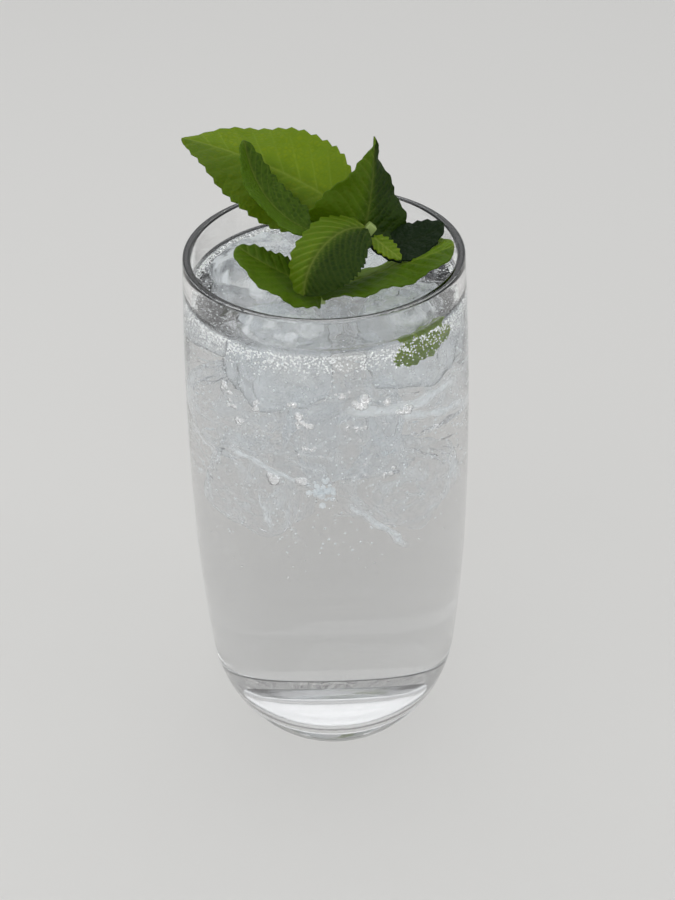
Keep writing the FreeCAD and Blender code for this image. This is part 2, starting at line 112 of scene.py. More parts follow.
# The leaves. A leaf grows at the crown for node 1 or at the lower node for 0, and lift is how
# far up the stem from there. long, left and right are its length and half widths. base and
# tip set how blunt its ends are, less being blunter. slant is how far its veins run forward,
# lobe how far its base reaches back, wave and quilt how strong its relief is. Two pairs colour
# its left and right half. The first is how young and yellow-green the half is, with painted
# light that makes the lit half brighter. The second is painted shade, which darkens a half
# turned from the light or a leaf lying in shade. heading and rise aim its midrib, and sweep
# and curl turn it on the way to the tip. roll and twist do the same about the midrib. The
# folds lift each half. Angles are in degrees.
LEAVES = {
    "back_leaf": {
        "node": 1, "lift": 1.8, "stalk": 6.4, "long": 44.2, "left": 13.0, "right": 12.0,
        "base": 0.5, "tip": 0.72, "teeth": 15, "veins": 8, "youth_and_painted_light": (0.7, 0.92), "wave": 0.5,
        "quilt": 0.5, "slant": 0.9, "shade": (0.26, 0.06), "lobe": 0.6,
        "heading": 137.0, "rise": 15.0, "curl": -4.0, "sweep": 32.5,
        "roll": 56.0, "twist": -56.0, "fold_left": -2.0, "fold_right": -2.0,
    },
    "curled_leaf": {
        "node": 1, "lift": -1.2, "stalk": 1.0, "long": 36.5, "left": 7.6, "right": 5.4,
        "base": 0.5, "tip": 0.6, "teeth": 12, "veins": 8, "youth_and_painted_light": (0.25, 0.12), "wave": 0.3,
        "quilt": 0.5, "slant": 2.8, "shade": (0.1, 0.3), "lobe": 0.6,
        "heading": 180.0, "rise": -3.0, "curl": 66.0, "sweep": -72.0,
        "roll": 24.0, "twist": -38.0, "fold_left": 32.0, "fold_right": 16.0,
    },
    "crown_leaf": {
        "node": 1, "lift": -3.0, "stalk": 0.5, "long": 22.6, "left": 13.6, "right": 11.2,
        "base": 0.3, "tip": 1.35, "teeth": 9, "veins": 7, "youth_and_painted_light": (0.45, 0.08), "wave": 0.6,
        "quilt": 0.7, "slant": 1.0, "shade": (0.24, 0.74), "lobe": 0.6,
        "heading": 53.0, "rise": 65.0, "curl": 3.0, "sweep": 34.0,
        "roll": -30.0, "twist": -15.0, "fold_left": 13.0, "fold_right": -28.0,
    },
    "front_leaf": {
        "node": 1, "lift": 1.8, "stalk": 0.7, "long": 25.0, "left": 9.8, "right": 5.6,
        "base": 0.45, "tip": 0.45, "teeth": 11, "veins": 11, "youth_and_painted_light": (0.04, 0.56), "wave": 0.3,
        "quilt": 1.0, "slant": 1.1, "shade": (0.72, 0.08), "lobe": 0.6,
        "heading": 221.0, "rise": 30.0, "curl": -120.0, "sweep": -3.0,
        "roll": 12.0, "twist": 0.0, "fold_left": -26.0, "fold_right": 10.0,
    },
    "left_leaf": {
        "node": 0, "lift": 0.5, "stalk": 0.5, "long": 20.0, "left": 11.8, "right": 4.2,
        "base": 0.36, "tip": 0.5, "teeth": 9, "veins": 7, "youth_and_painted_light": (0.38, 0.3), "wave": 0.4,
        "quilt": 0.8, "slant": 0.9, "shade": (0.2, 0.3), "lobe": 3.2,
        "heading": 200.0, "rise": 32.0, "curl": -2.0, "sweep": -42.0,
        "roll": 28.0, "twist": -26.0, "fold_left": 16.0, "fold_right": 14.0,
    },
    "right_leaf": {
        "node": 0, "lift": -0.4, "stalk": 1.0, "long": 29.9, "left": 12.4, "right": 11.2,
        "base": 0.3, "tip": 0.36, "teeth": 11, "veins": 8, "youth_and_painted_light": (0.62, 0.3), "wave": 0.5,
        "quilt": 0.8, "slant": 0.9, "shade": (0.0, 0.25), "lobe": 3.2,
        "heading": -8.0, "rise": 19.5, "curl": 6.0, "sweep": 5.0,
        "roll": 9.0, "twist": -11.0, "fold_left": -12.0, "fold_right": 2.0,
    },
    # This leaf lies behind the others, and painted shade makes nearly all of it dark.
    "rear_leaf": {
        "node": 1, "lift": -2.8, "stalk": 0.8, "long": 18.4, "left": 5.8, "right": 6.4,
        "base": 0.5, "tip": 0.6, "teeth": 8, "veins": 6, "youth_and_painted_light": (0.0, 0.0), "wave": 0.2,
        "quilt": 0.5, "slant": 0.9, "shade": (0.96, 0.96), "lobe": 0.6,
        "heading": 12.0, "rise": -22.0, "curl": 64.0, "sweep": -10.0,
        "roll": -15.0, "twist": 1.0, "fold_left": 2.0, "fold_right": 2.0,
    },
    "young_leaf": {
        "node": 1, "lift": -0.3, "stalk": 0.8, "long": 8.0, "left": 2.4, "right": 2.8,
        "base": 0.5, "tip": 0.7, "teeth": 6, "veins": 5, "youth_and_painted_light": (0.7, 0.8), "wave": 0.1,
        "quilt": 0.7, "slant": 0.9, "shade": (0.0, 0.0), "lobe": 0.6,
        "heading": -40.0, "rise": -24.0, "curl": 0.0, "sweep": 8.0,
        "roll": -7.0, "twist": -1.0, "fold_left": 13.0, "fold_right": 10.0,
    },
}


# --- small helpers -----------------------------------------------------------------

def linear(code):
    """Turn an sRGB hex colour into linear red, green, blue and alpha."""
    channels = [int(code[place:place + 2], 16) / 255 for place in (1, 3, 5)]
    return [c / 12.92 if c <= 0.04045 else ((c + 0.055) / 1.055) ** 2.4 for c in channels] + [1.0]


def add(tree, kind, inputs=None, **settings):
    """Add a shader node, with its settings, and each input a value or a link."""
    made = tree.nodes.new(kind)
    for name, value in settings.items():
        setattr(made, name, value)
    for name, value in (inputs or {}).items():
        if isinstance(value, bpy.types.NodeSocket):
            tree.links.new(value, made.inputs[name])
        else:
            made.inputs[name].default_value = value
    return made


def new_material(name):
    """An empty node material and its tree."""
    material = bpy.data.materials.new(name)
    material.use_nodes = True
    material.node_tree.nodes.clear()
    return material, material.node_tree


def pick(piece):
    """Make one object the only selected and active one, in object mode."""
    bpy.ops.object.select_all(action="DESELECT")
    piece.select_set(True)
    bpy.context.view_layer.objects.active = piece


def edit(piece):
    """Open one object in edit mode with all of it selected."""
    pick(piece)
    bpy.ops.object.mode_set(mode="EDIT")
    bpy.ops.mesh.select_all(action="SELECT")


def close_edit():
    """Leave edit mode."""
    bpy.ops.object.mode_set(mode="OBJECT")


def weld(piece):
    """Merge corners that share a place, as those of loose triangles do."""
    edit(piece)
    bpy.ops.mesh.remove_doubles(threshold=WELD)
    close_edit()


def hold(name, data):
    """A new object in the scene that holds a mesh, a lamp or a camera."""
    holder = bpy.data.objects.new(name, data)
    bpy.context.collection.objects.link(holder)
    return holder


def apply_modifier(piece, kind, **settings):
    """Add one modifier, set it and apply it."""
    pick(piece)
    modifier = piece.modifiers.new(kind.title(), kind)
    for name, value in settings.items():
        setattr(modifier, name, value)
    bpy.ops.object.modifier_apply(modifier=modifier.name)


def settle(piece, name, material, replaced=()):
    """Name and smooth a finished piece, give it its material, and let it ride."""
    piece.name = name
    piece.data.name = name
    piece.data.materials.clear()
    piece.data.materials.append(material)
    pick(piece)
    bpy.ops.object.shade_smooth()
    bpy.ops.object.transform_apply(location=True, rotation=True, scale=True)
    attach(piece, "root")
    if replaced:
        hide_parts(*replaced)


def around(away, bearing, height):
    """The place at a distance from the axis, a bearing in degrees and a height."""
    turned = math.radians(bearing)
    return (away * math.cos(turned), away * math.sin(turned), height)


# --- the glass and the drink ---------------------------------------------------------

def arc(centre, radius, start, stop, steps):
    """Points of an arc in a half section, by degrees from the outward level line."""
    points = []
    for step in range(steps + 1):
        angle = math.radians(start + (stop - start) * step / steps)
        points.append((centre[0] + radius * math.cos(angle), centre[1] + radius * math.sin(angle)))
    return points


UPPER_SWEEP = ((GLASS_TOP - BELLY_HEIGHT) ** 2 + (BELLY_RADIUS - RIM_RADIUS) ** 2) / (
    2 * (BELLY_RADIUS - RIM_RADIUS))
LOWER_SWEEP = ((BELLY_HEIGHT - HEEL_HEIGHT) ** 2 + (BELLY_RADIUS - HEEL_RADIUS) ** 2) / (
    2 * (BELLY_RADIUS - HEEL_RADIUS))


def wall_radius(height, inset):
    """Radius of the barrel wall at a height, a distance inside its outer face."""
    sweep = UPPER_SWEEP if height > BELLY_HEIGHT else LOWER_SWEEP
    return BELLY_RADIUS - sweep + math.sqrt((sweep - inset) ** 2 - (height - BELLY_HEIGHT) ** 2)


def heel_arc():
    """Centre and radius of the arc that leaves the wall smoothly and ends at the foot."""
    heel = Vector((HEEL_RADIUS, HEEL_HEIGHT))
    normal = (heel - Vector((BELLY_RADIUS - LOWER_SWEEP, BELLY_HEIGHT))).normalized()
    chord = heel - Vector((FOOT_RADIUS, 0))
    radius = chord.length_squared / (2 * normal.dot(chord))
    return heel - normal * radius, radius


def angle_of(centre, point):
    """Direction of a point from a centre, in degrees from the outward level line."""
    return math.degrees(math.atan2(point[1] - centre[1], point[0] - centre[0]))


def inner_corner(inset, floor):
    """Centre of the round inner corner and the angle where it leaves the wall."""
    corner = FLOOR_CORNER + WALL - inset
    reach = LOWER_SWEEP - inset - corner
    drop = BELLY_HEIGHT - floor - corner
    centre = (BELLY_RADIUS - LOWER_SWEEP + math.sqrt(reach ** 2 - drop ** 2), floor + corner)
    return centre, corner, -math.degrees(math.asin(drop / reach))


def inner_outline(inset, floor, top, steps):
    """Half section of the inside from the middle of its floor up its wall to a height."""
    centre, corner, leave = inner_corner(inset, floor)
    points = [(centre[0] * ring / FLOOR_RINGS, floor) for ring in range(FLOOR_RINGS)]
    points += arc(centre, corner, -90, leave, CORNER_STEPS)
    start = points[-1][1]
    for step in range(1, steps + 1):
        height = start + (top - start) * step / steps
        points.append((wall_radius(height, inset), height))
    return points


def turn(outline):
    """Spin a half section of (radius, height) points once round the upright axis."""
    bpy.ops.object.select_all(action="DESELECT")
    bpy.ops.mesh.primitive_plane_add(size=MM, location=(outline[0][0] * MM, 0, outline[0][1] * MM))
    piece = bpy.context.object
    edit(piece)
    bpy.ops.mesh.merge(type="CENTER")
    for before, after in zip(outline[:-1], outline[1:]):
        step = ((after[0] - before[0]) * MM, 0, (after[1] - before[1]) * MM)
        bpy.ops.mesh.extrude_region_move(TRANSFORM_OT_translate={"value": step})
    bpy.ops.mesh.select_all(action="SELECT")
    bpy.ops.mesh.spin(steps=TURNS, angle=math.tau, center=(0, 0, 0), axis=(0, 0, 1))
    bpy.ops.mesh.select_all(action="SELECT")
    bpy.ops.mesh.remove_doubles(threshold=SPIN_WELD)
    bpy.ops.mesh.normals_make_consistent(inside=False)
    close_edit()
    bpy.ops.object.transform_apply(location=True, rotation=True, scale=True)
    return piece


def foot_outline():
    """Half section of the foot, from its middle to where the heel's arc is reached."""
    centre, radius = heel_arc()
    foot_angle = angle_of(centre, (FOOT_RADIUS, 0))
    leave = foot_angle + math.degrees(FOOT_ROUND / radius)
    end = (centre[0] + radius * math.cos(math.radians(leave)),
           centre[1] + radius * math.sin(math.radians(leave)))
    flat = FOOT_RADIUS - FOOT_ROUND
    points = []
    for ring in range(PUSH_UP_RINGS + 1):
        points.append((flat * PUSH_UP_SHARE * ring / PUSH_UP_RINGS,
                       PUSH_UP * (1 - (ring / PUSH_UP_RINGS) ** 2)))
    points += [(flat * STANDING_SHARE, 0.0), (flat, 0.0)]
    for step in range(1, FOOT_EDGE_STEPS + 1):
        share = step / FOOT_EDGE_STEPS
        left = 1 - share
        out = left ** 2 * flat + 2 * share * left * FOOT_RADIUS + share ** 2 * end[0]
        points.append((out, share ** 2 * end[1]))
    heel = angle_of(centre, (HEEL_RADIUS, HEEL_HEIGHT))
    return points + arc(centre, radius, leave, heel, HEEL_STEPS)[1:]


def tumbler_outline():
    """Half section of the glass, from the middle of its underside round to its floor."""
    points = foot_outline()
    straight = GLASS_TOP - RIM_ROUND
    for step in range(1, WALL_STEPS + 1):
        height = HEEL_HEIGHT + (straight - HEEL_HEIGHT) * step / WALL_STEPS
        points.append((wall_radius(height, 0), height))
    outer = wall_radius(straight, 0)
    inner = wall_radius(straight, WALL)
    middle = (outer + inner) / 2
    half = (outer - inner) / 2
    for step in range(1, RIM_STEPS):
        angle = math.pi * step / RIM_STEPS
        points.append((middle + half * math.cos(angle), straight + RIM_ROUND * math.sin(angle)))
    return points + inner_outline(WALL, FLOOR, straight, INSIDE_STEPS)[::-1]


def drink_outline():
    """Half section of the drink: it reaches into the wall and climbs it a little."""
    inset = WALL - DRINK_IN_WALL
    top = LEVEL + MENISCUS_RISE
    points = inner_outline(inset, FLOOR - DRINK_IN_WALL, top, DRINK_SIDE_STEPS)
    rim = wall_radius(top, inset)
    edge = wall_radius(LEVEL, WALL)
    for step in range(1, SURFACE_RINGS + 1):
        radius = rim * (1 - (step / SURFACE_RINGS)) ** SURFACE_CROWDING
        climb = MENISCUS_RISE * math.exp(-max(edge - radius, 0) / MENISCUS_REACH)
        points.append((radius, LEVEL + climb))
    return points


def ripple(piece):
    """Break up the level surface of the drink with low ripples."""
    for vertex in piece.data.vertices:
        if vertex.co.z / MM < LEVEL - SURFACE_DEEP:
            continue
        away = math.hypot(vertex.co.x, vertex.co.y) / MM
        calm = max(0.0, 1 - (away / (RIM_RADIUS - WALL - CALM_RING)) ** CALM_POWER)
        swell = sum(noise.noise(vertex.co / (length * MM)) * tall for length, tall in RIPPLES)
        vertex.co.z += swell * calm * MM


# --- ice ----------------------------------------------------------------------------

FLOATING = ("ice_left", "ice_back", "ice_right", "ice_front")

# Sunken ice: where its middle is, by distance from the axis, bearing and height, its
# three sides, and how it is turned about the upright and about a level line.
SUNKEN = [
    (15.5, -75, 106, (21, 19, 20), 15, 20),
    (17.5, 20, 105, (20, 19, 21), 50, -25),
    (16.5, 105, 104, (21, 18, 19), -20, 15),
    (17.0, 195, 106, (20, 20, 18), 35, 30),
    (16.0, -30, 86, (21, 19, 18), -35, 25),
    (16.5, 85, 85, (20, 19, 19), 10, -20),
    (17.0, -145, 87, (21, 20, 19), 60, 15),
]


# Melting: the lengths of broad hollows, small pits and ridges, and the ridges' share of the
# hollows' depth. A seed moves the pattern by its steps. The melts are how deep hollows and
# pits are.
HOLLOW_LONG = 8.0
PIT_LONG = 2.6
RIDGE_LONG = 4.2
RIDGE_SHARE = 0.6
SEED_STEPS = (7.3, 3.1, 5.7)
FLOATING_VOXEL = 0.55
FLOATING_MELT = (1.3, 0.35)
SUNKEN_VOXEL = 0.8
SUNKEN_MELT = (1.1, 0.3)
SUNKEN_BEVEL = 3.2
SUNKEN_FIRST_SEED = 11
DRINK_IN_ICE = 0.12


def melt(piece, voxel, seed, coarse, fine):
    """Remesh a block finely, soften it, and push its faces in and out as melting does."""
    apply_modifier(piece, "REMESH", mode="VOXEL", voxel_size=voxel * MM)
    apply_modifier(piece, "SMOOTH", iterations=3, factor=0.5)
    shift = Vector([seed * step for step in SEED_STEPS])
    normals = [vertex.normal.copy() for vertex in piece.data.vertices]
    for vertex, normal in zip(piece.data.vertices, normals):
        place = vertex.co / MM
        wide = noise.noise(place / HOLLOW_LONG + shift) * coarse
        small = noise.noise(place / PIT_LONG + shift) * fine
        ridge = abs(noise.noise(place / RIDGE_LONG - shift)) * coarse * RIDGE_SHARE
        vertex.co += normal * (wide + small - ridge) * MM


def carve_floating(name, seed):
    """A floating piece: the frame's block, melted uneven."""
    piece = hold(name + "_melted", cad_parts[name].data.copy())
    weld(piece)
    melt(piece, FLOATING_VOXEL, seed, *FLOATING_MELT)
    return piece


def carve_sunken(number, away, bearing, height, sides, spin, lean):
    """A sunken piece: a bevelled block, cut fine and melted uneven."""
    bpy.ops.object.select_all(action="DESELECT")
    bpy.ops.mesh.primitive_cube_add(size=1, location=Vector(around(away, bearing, height)) * MM,
                                    rotation=(math.radians(lean), 0, math.radians(spin)))
    piece = bpy.context.object
    piece.scale = [side * MM for side in sides]
    bpy.ops.object.transform_apply(location=True, rotation=True, scale=True)
    edit(piece)
    bpy.ops.mesh.bevel(offset=SUNKEN_BEVEL * MM, segments=3, affect="EDGES")
    bpy.ops.mesh.subdivide(number_cuts=5)
    close_edit()
    melt(piece, SUNKEN_VOXEL, number + SUNKEN_FIRST_SEED, *SUNKEN_MELT)
    return piece


def cut_out(drink, piece):
    """Cut the ice out of the drink, a little small, so that no film of air shows."""
    cutter = hold("cutter", piece.data.copy())
    apply_modifier(cutter, "DISPLACE", strength=-DRINK_IN_ICE * MM, mid_level=0.0)
    apply_modifier(drink, "BOOLEAN", operation="DIFFERENCE", solver="MANIFOLD", object=cutter)
    bpy.data.objects.remove(cutter)


def join(pieces):
    """Join several objects into the first of them."""
    bpy.ops.object.select_all(action="DESELECT")
    for piece in pieces:
        piece.select_set(True)
    bpy.context.view_layer.objects.active = pieces[0]
    bpy.ops.object.join()
    return pieces[0]


# --- bubbles ----------------------------------------------------------------------------

# Bubbles: how round a ball is cut, the gap between one and the wall, and how white the
# specks frozen into the ice are.
BALL_ROUNDS = 2
BUBBLE_GAP = 0.02
CLUSTER_GAP = 0.03
SPECK_DENSE = 0.9


def ball():
    """Corners and faces of a ball of radius 1 with its middle at the origin."""
    bpy.ops.object.select_all(action="DESELECT")
    bpy.ops.mesh.primitive_ico_sphere_add(subdivisions=BALL_ROUNDS, radius=1, location=(0, 0, 0))
    piece = bpy.context.object
    corners = np.array([vertex.co for vertex in piece.data.vertices])
    faces = np.array([face.vertices for face in piece.data.polygons])
    bpy.data.objects.remove(piece)
    return corners, faces


def many_balls(middles, radii):
    """One mesh of many balls at their real places and sizes."""
    corners, faces = ball()
    middles = np.array(middles)
    radii = np.array(radii)
    spots = middles[:, None, :] + corners[None, :, :] * radii[:, None, None]
    numbers = faces[None, :, :] + (np.arange(len(middles)) * len(corners))[:, None, None]
    mesh = bpy.data.meshes.new("balls")
    mesh.from_pydata((spots.reshape(-1, 3) * MM).tolist(), [], numbers.reshape(-1, 3).tolist())
    fade = mesh.attributes.new("fade", "FLOAT", "POINT")
    fade.data.foreach_set("value", np.full(len(mesh.vertices), SPECK_DENSE))
    return hold("balls", mesh)


def on_wall(bearing, height, depth):
    """A place a depth inside the inner face of the wall, bearing in degrees."""
    return around(wall_radius(height, WALL) - depth, bearing, height)


# Clusters of larger bubbles on the wall: bearing, height, how many, how far they spread
# round the wall and up it, and their mean radius.
CLUSTERS = [
    (-134, 121, 5, 5, 1.4, 0.68),
    (-131, 117, 4, 4, 1.0, 0.74),
    (-119, 119, 4, 3, 1.4, 0.68),
    (-127, 113, 3, 4, 1.0, 0.68),
    (-104, 121, 3, 3, 1.2, 0.61),
    (-99, 117, 12, 6, 2.0, 0.7),
    (-97, 109, 6, 9, 1.2, 0.49),
    (-84, 124, 5, 6, 1.0, 0.54),
    (-76, 121, 12, 6, 1.6, 0.76),
    (-67, 120, 4, 4, 0.8, 0.68),
    (-58, 116, 8, 7, 0.8, 0.81),
    (-80, 113, 9, 12, 3.0, 0.41),
    (-114, 100, 2, 3, 0.8, 1.35),
    (-101, 100, 2, 2, 0.6, 1.22),
    (-66, 101, 5, 9, 2.0, 0.54),
]


# Fizz: how many pinheads, how far under the level they start and how deep they spread.
FIZZ_COUNT = 2300
FIZZ_TOP = 0.2
FIZZ_SPREAD = 2.2
FIZZ_RADII = (0.12, 0.25)

# A bubble's size against its cluster's mean, then the strays: how many, how far under the
# level they start, how far down they reach and how strongly they crowd upwards.
BUBBLE_VARIES = (0.65, 1.25)
STRAY_COUNT = 700
STRAY_TOP = 3
STRAY_REACH = 62
STRAY_CROWDING = 1.4
STRAY_RADII = (0.1, 0.28)

# Frozen specks: how many, from what height over what reach, and how deep behind the wall.
SPECK_COUNT = 1500
SPECK_LOW = 76
SPECK_REACH = 54
SPECK_RISING = 0.8
SPECK_NEAREST = 1
SPECK_DEEP = 11
SPECK_CROWDING = 1.6
SPECK_RADII = (0.1, 0.3)

# The one dense patch of specks: how many, and its bearing and height with their spreads.
PATCH_COUNT = 26
PATCH_BEARING = (-92, 3.2)
PATCH_HEIGHT = (97, 1.3)
PATCH_DEPTHS = (2.5, 4)
PATCH_RADII = (0.35, 0.9)


def fizz_places():
    """Middles and radii of the fine collar of fizz under the edge of the surface."""
    chance = random.Random(7)
    middles, radii = [], []
    for _ in range(FIZZ_COUNT):
        radius = chance.uniform(*FIZZ_RADII)
        depth = abs(chance.gauss(0, FIZZ_SPREAD))
        bearing = chance.uniform(*ALL_ROUND)
        middles.append(on_wall(bearing, LEVEL - FIZZ_TOP - radius - depth, radius + BUBBLE_GAP))
        radii.append(radius)
    return middles, radii


def bubble_places():
    """Middles and radii of the larger bubbles on the wall: clusters and strays."""
    chance = random.Random(8)
    middles, radii = [], []
    for bearing, height, count, spread, rise, mean in CLUSTERS:
        for _ in range(count):
            radius = mean * chance.uniform(*BUBBLE_VARIES)
            place = on_wall(bearing + chance.uniform(-spread, spread) / 2,
                            height + chance.uniform(-rise, rise), radius + CLUSTER_GAP)
            middles.append(place)
            radii.append(radius)
    for _ in range(STRAY_COUNT):
        radius = chance.uniform(*STRAY_RADII)
        height = LEVEL - STRAY_TOP - STRAY_REACH * chance.random() ** STRAY_CROWDING
        middles.append(on_wall(chance.uniform(*ALL_ROUND), height, radius + BUBBLE_GAP))
        radii.append(radius)
    return middles, radii


def speck_places():
    """Middles and radii of the pinhead air bubbles frozen into the sunken ice."""
    chance = random.Random(31)
    middles, radii = [], []
    for _ in range(SPECK_COUNT):
        height = SPECK_LOW + SPECK_REACH * chance.random() ** SPECK_RISING
        bearing = chance.uniform(*ALL_ROUND)
        depth = SPECK_NEAREST + SPECK_DEEP * chance.random() ** SPECK_CROWDING
        middles.append(on_wall(bearing, height, depth))
        radii.append(chance.uniform(*SPECK_RADII))
    for _ in range(PATCH_COUNT):
        bearing = chance.gauss(*PATCH_BEARING)
        height = chance.gauss(*PATCH_HEIGHT)
        middles.append(on_wall(bearing, height, chance.uniform(*PATCH_DEPTHS)))
        radii.append(chance.uniform(*PATCH_RADII))
    return middles, radii


# --- fractures in the ice ------------------------------------------------------------------

# White fractures inside the ice: both ends as bearing, height and depth behind the inner
# wall, then the width at each end, how far the sheet bows out and how dense it is.
FRACTURES = [
    ((-136, 104, 3.0), (-93, 97, 3.5), 3.2, 1.6, 1.2, 1.0),
    ((-82, 93, 4.0), (-54, 75, 3.5), 1.8, 3.0, 0.8, 0.9),
    ((-85, 118.4, 1.4), (-22, 115.4, 1.4), 3.2, 4.4, 4.4, 1.0),
    ((-60, 115, 1.4), (-14, 106, 1.4), 3.4, 2.8, 2.2, 1.0),
    ((-122, 94, 3.5), (-115, 83, 3.0), 0.7, 2.2, 0.3, 0.6),
    ((-168, 101, 3.0), (-142, 99, 3.0), 2.2, 1.8, 1.0, 0.5),
]


# How many fainter cracks there are. Then for all: how thick a crack's sheet is, how its width
# varies, how far it crinkles outwards and sideways, how often in its length each happens, how
# fast its ends fade, and how far apart one's pattern is moved.
FAINT_COUNT = 46
SHEET_THICK = 0.18
WIDTH_VARIES = (0.75, 0.5)
CRINKLE_OUT = 0.7
CRINKLE_SIDE = 0.8
WIDTH_PACE = 7
OUT_PACE = (12, 2)
SIDE_PACE = 5
START_FADE = 8
END_FADE = 5
PATTERN_STEP = 3.7


def faint_fractures():
    """Shorter, fainter cracks scattered through the ice all round the glass."""
    chance = random.Random(19)
    made = []
    for _ in range(FAINT_COUNT):
        bearing = chance.uniform(*ALL_ROUND)
        height = chance.uniform(80, 124)
        depth = chance.uniform(2.5, 13)
        turn_by = chance.uniform(8, 30)
        climb = chance.uniform(-9, 11)
        first = chance.uniform(0.5, 1.6)
        last = chance.uniform(0.8, 3.0)
        bow = chance.uniform(0, 1.5)
        dense = chance.uniform(0.16, 0.42)
        made.append(((bearing, height, depth), (bearing + turn_by, height + climb, depth + 1),
                     first, last, bow, dense))
    return made


def fracture(number, start, stop, first, last, bow, dense):
    """A thin crinkled sheet between two places, with soft ends and edges."""
    begin = Vector(on_wall(*start))
    finish = Vector(on_wall(*stop))
    along = finish - begin
    outward = Vector((begin.x + finish.x, begin.y + finish.y, 0)).normalized()
    across = along.cross(outward).normalized()
    bpy.ops.object.select_all(action="DESELECT")
    bpy.ops.mesh.primitive_grid_add(x_subdivisions=40, y_subdivisions=10, size=2)
    piece = bpy.context.object
    fade = piece.data.attributes.new("fade", "FLOAT", "POINT")
    shift = number * PATTERN_STEP
    for vertex in piece.data.vertices:
        share = (vertex.co.x + 1) / 2
        side = vertex.co.y
        width = first + (last - first) * share
        width *= WIDTH_VARIES[0] + WIDTH_VARIES[1] * noise.noise((share * WIDTH_PACE, shift, 0))
        place = begin + along * share + outward * (bow * math.sin(math.pi * share))
        place += across * side * width / 2
        crinkle = noise.noise((share * OUT_PACE[0], side * OUT_PACE[1], shift))
        place += outward * (crinkle * CRINKLE_OUT)
        place += across * (noise.noise((share * SIDE_PACE, 1.0, shift)) * CRINKLE_SIDE)
        soft = max(0.0, 1 - abs(side) ** 2) * min(1, share * START_FADE, (1 - share) * END_FADE)
        fade.data[vertex.index].value = soft * dense
        vertex.co = place * MM
    apply_modifier(piece, "SOLIDIFY", thickness=SHEET_THICK * MM, offset=0)
    return piece


# --- mint -------------------------------------------------------------------------------------

def blade_share(values, along):
    """Share of the full half width at shares of the length, without teeth."""
    widest = values["base"] / (values["base"] + values["tip"])
    full = widest ** values["base"] * (1 - widest) ** values["tip"]
    return along ** values["base"] * (1 - along) ** values["tip"] / full


def leaf_frame(values, along):
    """Forward, sideways and upward vectors of the midrib at shares of its length."""
    rise = np.radians(values["rise"] + values["curl"] * along)
    heading = np.radians(values["heading"] + values["sweep"] * along)
    roll = np.radians(values["roll"] + values["twist"] * along)[:, None]
    forward = np.stack([np.cos(rise) * np.cos(heading), np.cos(rise) * np.sin(heading),
                        np.sin(rise)], -1)
    level_side = np.stack([np.sin(heading), -np.cos(heading), np.zeros_like(heading)], -1)
    level_up = np.cross(level_side, forward)
    side = level_side * np.cos(roll) + level_up * np.sin(roll)
    upward = level_up * np.cos(roll) - level_side * np.sin(roll)
    return forward, side, upward


def stem_places():
    """The crown of the stem and the direction it leans in."""
    lean = Vector(around(LEAN_RUN, LEAN_BEARING, LEAN_RISE))
    return LOWER_NODE + lean, lean.normalized()


# A blade's edge: how deep its teeth are, the long and short side of each as shares of it,
# how fast they fade at the ends, and where along the leaf the stalk has become the blade.
TOOTH_DEEP = 0.75
TOOTH_SIDES = (0.7, 0.3)
TOOTH_FADE = 3
STALK_END = 0.04

# Side veins: how they curve towards the tip, crowd together and miss each other at the
# midrib, and how far apart they are across their own run.
VEIN_CURVE = 0.85
VEIN_CROWDING = 1.15
VEIN_STAGGER = 0.3
VEIN_ACROSS = 0.75

# Relief in millimetres: the swelling between veins, how much the quilting varies it and how
# deep the midrib lies, then how wide the valleys of vein and midrib are and how long a
# quilted cell is. A short leaf is flatter, in proportion under FULL_RELIEF_LONG.
SWELL = 0.26
QUILT = 0.38
MIDRIB_DEEP = 0.28
VEIN_VALLEY = 0.75
MIDRIB_SHOULDER = 0.7
MIDRIB_VALLEY = 0.45
QUILT_CELL = 1.9
FULL_RELIEF_LONG = 20
EDGE_POWER = 8
LOBE_END = 0.07

# How fast relief and folds set in from the base, how fast the edge waves along the leaf, and
# how sharply the colours of the two halves part, their painted light and painted shade among them.
RELIEF_START = 14
FOLD_START = 12
WAVE_PACE = 19
HALVES_PART = 4

# Painted veins: how wide, how far from the midrib they fade, and how much they show at
# least and with more quilting.
VEIN_WIDE = 0.16
VEIN_FADE = 7
MIDRIB_WIDE = 0.32
VEIN_SHOWS = (0.35, 0.65)


def saw_edge(values, along, across):
    """Half width of the blade at each place, with its saw teeth, and the stalk at its foot."""
    long_side, short_side = TOOTH_SIDES
    tooth = (along * values["teeth"]) % 1
    saw = np.where(tooth < long_side, tooth / long_side, (1 - tooth) / short_side)
    share = blade_share(values, np.clip(along, 0.0, 1.0))
    half_full = np.where(across > 0, values["right"], values["left"])
    notch = (saw - 0.5) * TOOTH_DEEP * np.clip(share * TOOTH_FADE, 0, 1)
    half = np.maximum(half_full * share + notch, 0)
    stalk = np.clip(1 - along / STALK_END, 0, 1)
    return half * (1 - stalk) + STALK_WIDE / 2 * stalk


def vein_distances(values, along, across, half):
    """Distance of each place from the nearest side vein and from the midrib."""
    reach = np.abs(across)
    slant = values["slant"] * half / values["long"]
    count = ((along - slant * reach ** VEIN_CURVE) * values["veins"] * VEIN_CROWDING
             + VEIN_STAGGER * np.sign(across))
    off_vein = (np.abs(count - np.round(count)) / (values["veins"] * VEIN_CROWDING)
                * values["long"] * VEIN_ACROSS)
    return off_vein, reach * half


